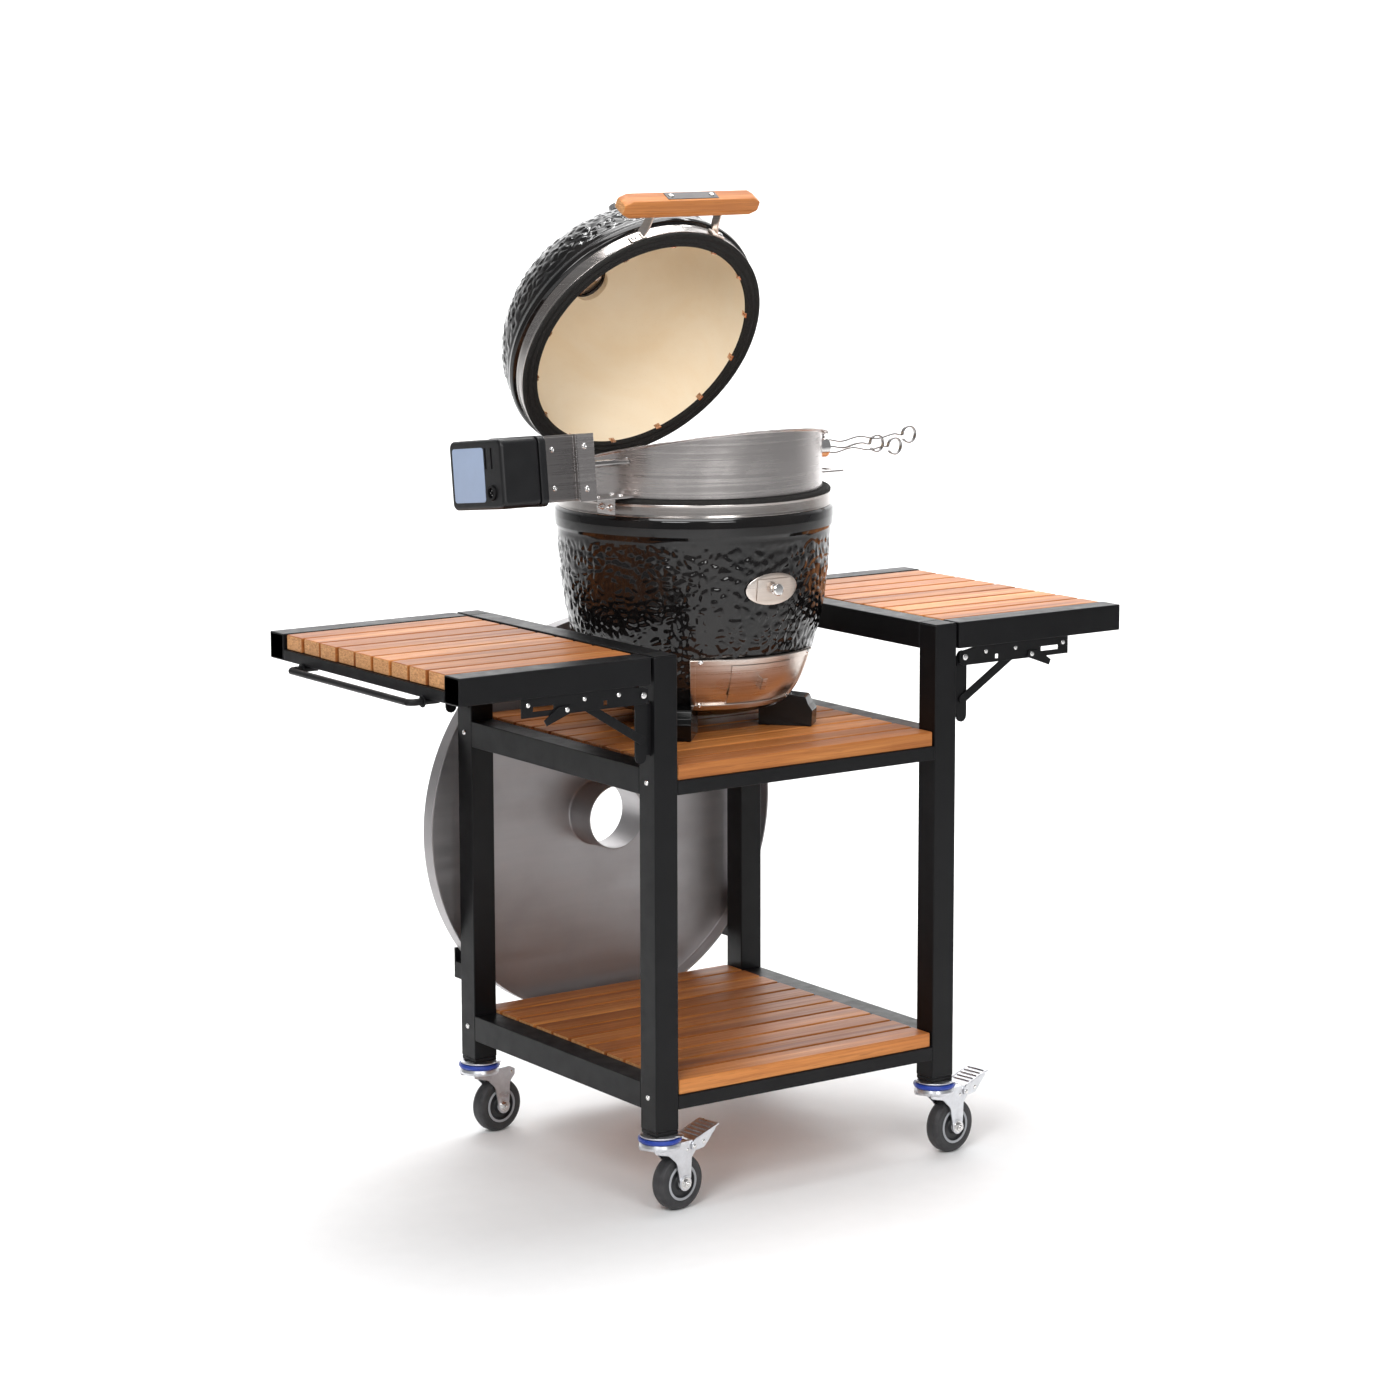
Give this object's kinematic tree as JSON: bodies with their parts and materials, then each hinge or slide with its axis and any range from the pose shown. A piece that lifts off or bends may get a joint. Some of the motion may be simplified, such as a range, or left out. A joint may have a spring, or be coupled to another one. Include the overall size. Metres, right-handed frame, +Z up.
{
  "type": "kamado grill cart with rotisserie",
  "caption": "Ceramic kamado charcoal grill with a wedge-shaped motor rotisserie ring, on a wheeled slatted cart with folding side shelves.",
  "frame": {"origin": "on the floor below the middle of the whole object's bounding box", "axes": "+X to the right when facing the cart's front, +Y to the back, +Z up"},
  "size_m": [1.225, 0.6452, 1.4681],
  "materials": {
    "black_steel": "satin powder coat",
    "wood": "oiled",
    "zinc_steel": "zinc plated",
    "blue_ring": "semi gloss",
    "tyre": "matte",
    "glaze": "dimpled gloss",
    "stainless": "brushed",
    "gasket": "felt",
    "foot_black": "gloss",
    "fire_clay": "matte",
    "cast_iron": "matte",
    "motor_black": "satin",
    "motor_metal": "cast",
    "plate_steel": "satin"
  },
  "bodies": {
    "cart": {"cart_legs": "black_steel", "side_rails": "black_steel", "cross_rails": "black_steel", "middle_shelf_slats": "wood", "bottom_shelf_slats": "wood", "bracket_leaves": "black_steel", "castor_mounts": "zinc_steel", "castor_dust_rings": "blue_ring", "base_shell": "glaze", "base_band": "stainless", "base_gasket": "gasket", "body_feet": "foot_black", "fire_box": "fire_clay", "charcoal_grate": "cast_iron", "draft_door_frame": "stainless", "feeder_plate": "stainless", "hinge_base": "stainless", "rotisserie_ring": "stainless", "motor_case": "motor_black", "motor_cover": "motor_black", "power_inlet": "motor_black", "gearmotor": "motor_metal", "motor_bracket": "stainless", "plate_hooks": "black_steel"},
    "left_shelf": {"shelf_frame_left": "black_steel", "shelf_slats_left": "wood", "bracket_arms_left": "black_steel", "towel_rail": "black_steel"},
    "right_shelf": {"shelf_frame_right": "black_steel", "shelf_slats_right": "wood", "bracket_arms_right": "black_steel"},
    "left_braces": {"bracket_braces_left": "black_steel"},
    "right_braces": {"bracket_braces_right": "black_steel"},
    "left_levers": {"release_levers_left": "black_steel"},
    "right_levers": {"release_levers_right": "black_steel"},
    "lid": {"lid_shell": "glaze", "lid_band": "stainless", "lid_gasket": "gasket", "vent_base": "cast_iron", "thermometer": "stainless", "handle_grip": "wood", "handle_brackets": "stainless", "hinge_lid_arms": "stainless"},
    "lid_vent": {"vent_cap": "cast_iron"},
    "draft": {"draft_door": "stainless"},
    "feeder": {"feeder_shutter": "stainless"},
    "spit": {"spit_drive": "stainless", "skewers": "stainless"},
    "heat_plate": {"fire_plate": "plate_steel"},
    "castor_front_left": {"castor_fork_front_left": "zinc_steel"},
    "wheel_front_left": {"castor_wheel_front_left": "tyre"},
    "pedal_front_left": {"brake_pedal_front_left": "zinc_steel"},
    "castor_front_right": {"castor_fork_front_right": "zinc_steel"},
    "wheel_front_right": {"castor_wheel_front_right": "tyre"},
    "pedal_front_right": {"brake_pedal_front_right": "zinc_steel"},
    "castor_rear_left": {"castor_fork_rear_left": "zinc_steel"},
    "wheel_rear_left": {"castor_wheel_rear_left": "tyre"},
    "castor_rear_right": {"castor_fork_rear_right": "zinc_steel"},
    "wheel_rear_right": {"castor_wheel_rear_right": "tyre"}
  },
  "joints": [
    {"name": "lid_hinge", "type": "hinge", "parent": "cart", "child": "lid", "pos_m": [0.0135, 0.22891, 1.008], "axis": [1, 0, 0], "range_deg": [-15, 45.8]},
    {"name": "left_shelf_fold", "type": "hinge", "parent": "cart", "child": "left_shelf", "pos_m": [-0.279, -0.04109, 0.773], "axis": [0, -1, 0], "range_deg": [0, 84]},
    {"name": "right_shelf_fold", "type": "hinge", "parent": "cart", "child": "right_shelf", "pos_m": [0.306, -0.04109, 0.773], "axis": [0, 1, 0], "range_deg": [0, 84]},
    {"name": "left_brace_swing", "type": "hinge", "parent": "cart", "child": "left_braces", "pos_m": [-0.279, -0.04109, 0.708], "axis": [0, -1, 0], "range_deg": [0, 113]},
    {"name": "right_brace_swing", "type": "hinge", "parent": "cart", "child": "right_braces", "pos_m": [0.306, -0.04109, 0.708], "axis": [0, 1, 0], "range_deg": [0, 113]},
    {"name": "left_lever_press", "type": "hinge", "parent": "left_shelf", "child": "left_levers", "pos_m": [-0.409, -0.04109, 0.766], "axis": [0, 1, 0], "range_deg": [0, 20]},
    {"name": "right_lever_press", "type": "hinge", "parent": "right_shelf", "child": "right_levers", "pos_m": [0.436, -0.04109, 0.766], "axis": [0, -1, 0], "range_deg": [0, 20]},
    {"name": "castor_swivel_front_left", "type": "hinge", "parent": "cart", "child": "castor_front_left", "pos_m": [-0.2415, -0.29009, 0.1], "axis": [0, 0, 1], "continuous": true},
    {"name": "wheel_spin_front_left", "type": "hinge", "parent": "castor_front_left", "child": "wheel_front_left", "pos_m": [-0.20783, -0.28536, 0.042], "axis": [-0.1392, 0.9903, 0], "continuous": true},
    {"name": "pedal_press_front_left", "type": "hinge", "parent": "castor_front_left", "child": "pedal_front_left", "pos_m": [-0.19199, -0.28313, 0.095], "axis": [-0.1392, 0.9903, 0], "range_deg": [0, 12]},
    {"name": "castor_swivel_front_right", "type": "hinge", "parent": "cart", "child": "castor_front_right", "pos_m": [0.2685, -0.29009, 0.1], "axis": [0, 0, 1], "continuous": true},
    {"name": "wheel_spin_front_right", "type": "hinge", "parent": "castor_front_right", "child": "wheel_front_right", "pos_m": [0.30217, -0.28536, 0.042], "axis": [-0.1392, 0.9903, 0], "continuous": true},
    {"name": "pedal_press_front_right", "type": "hinge", "parent": "castor_front_right", "child": "pedal_front_right", "pos_m": [0.31801, -0.28313, 0.095], "axis": [-0.1392, 0.9903, 0], "range_deg": [0, 12]},
    {"name": "castor_swivel_rear_left", "type": "hinge", "parent": "cart", "child": "castor_rear_left", "pos_m": [-0.2415, 0.20791, 0.1], "axis": [0, 0, 1], "continuous": true},
    {"name": "wheel_spin_rear_left", "type": "hinge", "parent": "castor_rear_left", "child": "wheel_rear_left", "pos_m": [-0.20783, 0.21264, 0.042], "axis": [-0.1392, 0.9903, 0], "continuous": true},
    {"name": "castor_swivel_rear_right", "type": "hinge", "parent": "cart", "child": "castor_rear_right", "pos_m": [0.2685, 0.20791, 0.1], "axis": [0, 0, 1], "continuous": true},
    {"name": "wheel_spin_rear_right", "type": "hinge", "parent": "castor_rear_right", "child": "wheel_rear_right", "pos_m": [0.30217, 0.21264, 0.042], "axis": [-0.1392, 0.9903, 0], "continuous": true},
    {"name": "draft_door_slide", "type": "hinge", "parent": "cart", "child": "draft", "pos_m": [0.0135, -0.01609, 0.748], "axis": [0, 0, 1], "range_deg": [-17, 12]},
    {"name": "feeder_shutter_slide", "type": "hinge", "parent": "cart", "child": "feeder", "pos_m": [0.0135, -0.01609, 0.891], "axis": [0, 0, 1], "range_deg": [-8, 8]},
    {"name": "lid_vent_turn", "type": "hinge", "parent": "lid", "child": "lid_vent", "pos_m": [0.0135, 0.28677, 1.3308], "axis": [0, 0.8526, 0.5225], "range_deg": [0, 45]},
    {"name": "spit_turn", "type": "hinge", "parent": "cart", "child": "spit", "pos_m": [0.0135, -0.09609, 1.08], "axis": [1, 0, 0], "continuous": true},
    {"name": "heat_plate_lift", "type": "slide", "parent": "cart", "child": "heat_plate", "axis": [0, 0, 1], "range_m": [0, 0.04]}
  ],
  "couplings": [
    {"joint": "left_brace_swing", "follows": "left_shelf_fold", "ratio": 1.3452},
    {"joint": "right_brace_swing", "follows": "right_shelf_fold", "ratio": 1.3452}
  ]
}
